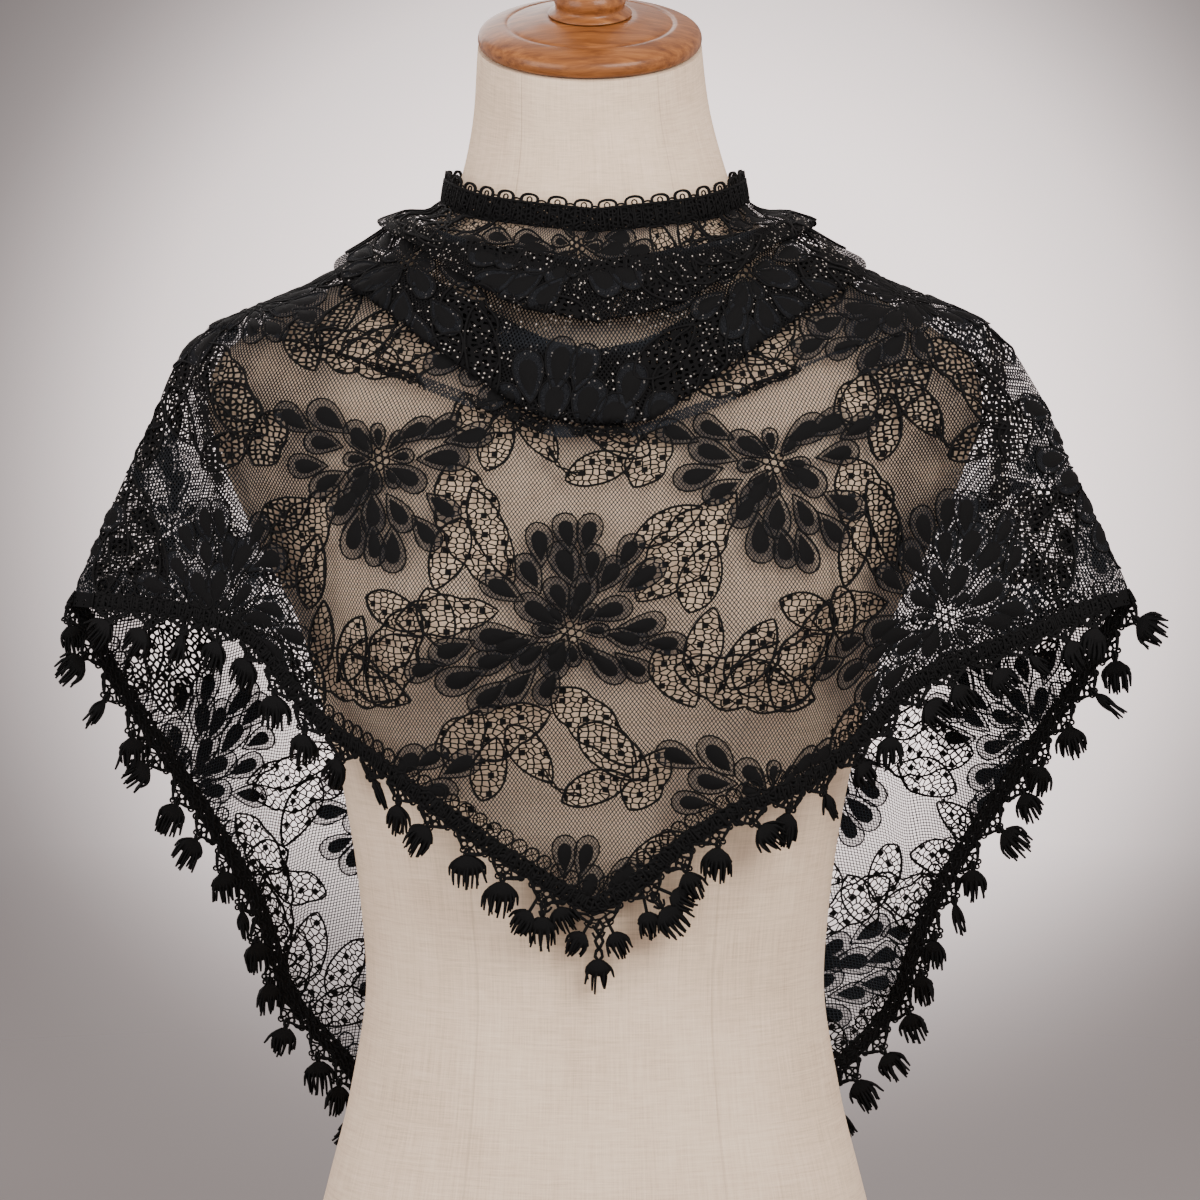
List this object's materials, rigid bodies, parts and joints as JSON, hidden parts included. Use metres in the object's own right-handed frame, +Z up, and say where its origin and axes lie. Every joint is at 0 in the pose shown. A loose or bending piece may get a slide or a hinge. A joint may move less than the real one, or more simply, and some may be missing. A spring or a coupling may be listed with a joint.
{
  "type": "lace mantilla on a dress form",
  "caption": "Triangular black floral lace mantilla with cowl folds, picot edge and tassel fringe, worn round the neck and shoulders of a limbless dress form.",
  "frame": {"origin": "middle of the dress form's flat underside", "axes": "+Z up, -Y the way the dress form faces, +X to the viewer's right of the front"},
  "size_m": [0.5606, 0.2277, 0.7988],
  "materials": {
    "lace": "fine floral net lace",
    "trim": "corded guipure edging with thread tassels",
    "form_linen": "plain woven linen cover",
    "form_wood": "varnished turned wood"
  },
  "bodies": {
    "root": {"lace_front": "lace", "lace_back_left": "lace", "lace_back_right": "lace", "picot_neck": "trim", "picot_back_left": "trim", "picot_back_right": "trim", "trim_front": "trim", "trim_back_left": "trim", "trim_back_right": "trim", "form_body": "form_linen", "form_cap": "form_wood", "form_finial": "form_wood"}
  },
  "joints": []
}
